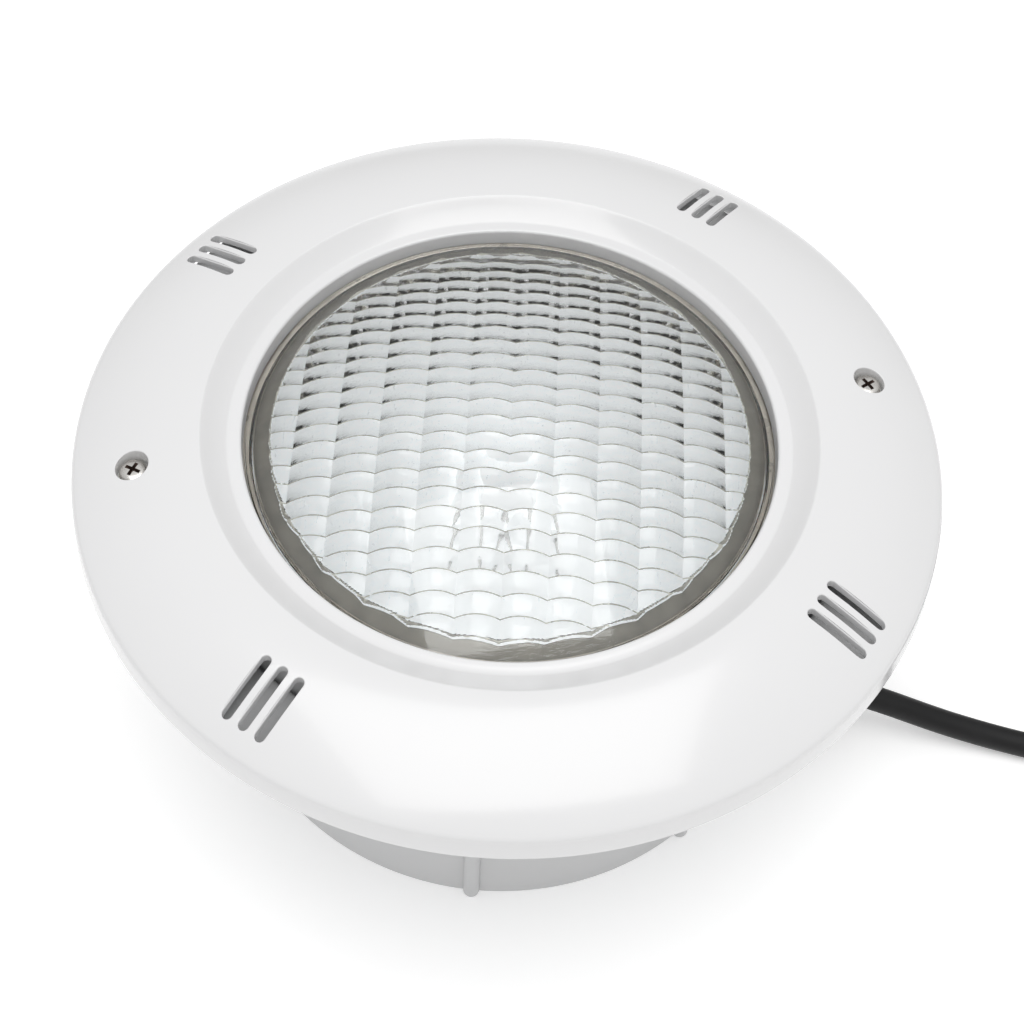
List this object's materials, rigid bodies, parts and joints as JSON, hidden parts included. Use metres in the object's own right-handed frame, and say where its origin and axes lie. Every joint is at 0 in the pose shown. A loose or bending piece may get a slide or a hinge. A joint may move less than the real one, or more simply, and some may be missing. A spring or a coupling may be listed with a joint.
{
  "type": "underwater pool light",
  "caption": "Round underwater pool light: domed prismatic lens in a white faceplate with water slots, screwed into a cylindrical wall niche with a side cable gland and coiled lead.",
  "frame": {"origin": "middle of the niche's flat base, on the light's axis", "axes": "+Z out of the pool wall along the beam; +X through the right-hand faceplate screw"},
  "size_m": [0.4909, 0.28, 0.1544],
  "materials": {
    "white_abs": "gloss moulded",
    "grey_abs": "satin moulded",
    "dark_nylon": "satin moulded",
    "lens_glass": "clear pressed glass",
    "reflector_aluminium": "vacuum aluminised",
    "silicone": "translucent soft",
    "black_rubber": "matte rubber",
    "stainless_steel": "passivated",
    "brass": "machined",
    "tungsten": "drawn wire",
    "natural_nylon": "natural",
    "brown_insulation": "smooth",
    "blue_insulation": "smooth"
  },
  "bodies": {
    "niche": {"niche_body": "grey_abs", "screw_insert_right": "brass", "screw_insert_left": "brass", "gland_body": "dark_nylon", "gland_washer": "black_rubber", "gland_locknut": "dark_nylon", "gland_seal": "black_rubber", "inner_lead": "black_rubber", "cable_run": "black_rubber", "cable_tail": "black_rubber", "cable_coil": "black_rubber", "end_core_brown": "brown_insulation", "end_ferrule_brown": "stainless_steel", "end_core_blue": "blue_insulation", "end_ferrule_blue": "stainless_steel", "coil_tie_1": "natural_nylon", "coil_tie_2": "natural_nylon"},
    "lamp_unit": {"faceplate": "white_abs", "lamp_gasket": "silicone", "lamp_lens": "lens_glass", "lamp_reflector": "reflector_aluminium", "filament_post_a": "tungsten", "filament_post_b": "tungsten", "filament": "tungsten", "filament_shield": "stainless_steel", "terminal_lug_a": "brass", "terminal_screw_a": "stainless_steel", "terminal_lug_b": "brass", "terminal_screw_b": "stainless_steel", "ring_terminal_brown": "stainless_steel", "ring_terminal_blue": "stainless_steel", "inner_core_brown": "brown_insulation", "inner_core_blue": "blue_insulation", "lamp_clamp_ring": "grey_abs", "clamp_screw_1": "stainless_steel", "clamp_screw_2": "stainless_steel", "clamp_screw_3": "stainless_steel", "clamp_screw_4": "stainless_steel", "terminal_boot": "black_rubber", "boot_clamp_band": "stainless_steel", "boot_clamp_screw": "stainless_steel"},
    "washer_right": {"screw_washer_right": "natural_nylon"},
    "screw_right": {"faceplate_screw_right": "stainless_steel"},
    "washer_left": {"screw_washer_left": "natural_nylon"},
    "screw_left": {"faceplate_screw_left": "stainless_steel"},
    "slip_ring": {"gland_slip_ring": "natural_nylon"},
    "cap_nut": {"gland_cap_nut": "dark_nylon"}
  },
  "joints": [
    {"name": "lamp_lift", "type": "slide", "parent": "niche", "child": "lamp_unit", "axis": [0, 0, 1], "range_m": [0, 0.115], "deforming": ["inner_lead"]},
    {"name": "screw_right_travel", "type": "slide", "parent": "lamp_unit", "child": "washer_right", "axis": [0, 0, 1], "range_m": [0, 0.012]},
    {"name": "screw_right_turn", "type": "hinge", "parent": "washer_right", "child": "screw_right", "pos_m": [0.1192, 0, 0.1364], "axis": [0, 0, 1], "range_deg": [0, 5402]},
    {"name": "screw_left_travel", "type": "slide", "parent": "lamp_unit", "child": "washer_left", "axis": [0, 0, 1], "range_m": [0, 0.012]},
    {"name": "screw_left_turn", "type": "hinge", "parent": "washer_left", "child": "screw_left", "pos_m": [-0.1192, 0, 0.1364], "axis": [0, 0, 1], "range_deg": [0, 5402]},
    {"name": "nut_travel", "type": "slide", "parent": "niche", "child": "slip_ring", "axis": [0.9239, -0.3827, 0], "range_m": [0, 0.00451]},
    {"name": "nut_turn", "type": "hinge", "parent": "slip_ring", "child": "cap_nut", "pos_m": [0.1238, -0.05128, 0.018], "axis": [0.9239, -0.3827, 0], "range_deg": [0, 1080]}
  ],
  "couplings": [
    {"joint": "screw_right_turn", "follows": "screw_right_travel", "rad_per_m": 7854},
    {"joint": "screw_left_turn", "follows": "screw_left_travel", "rad_per_m": 7854},
    {"joint": "nut_travel", "follows": "nut_turn", "m_per_rad": 0.00023873}
  ]
}
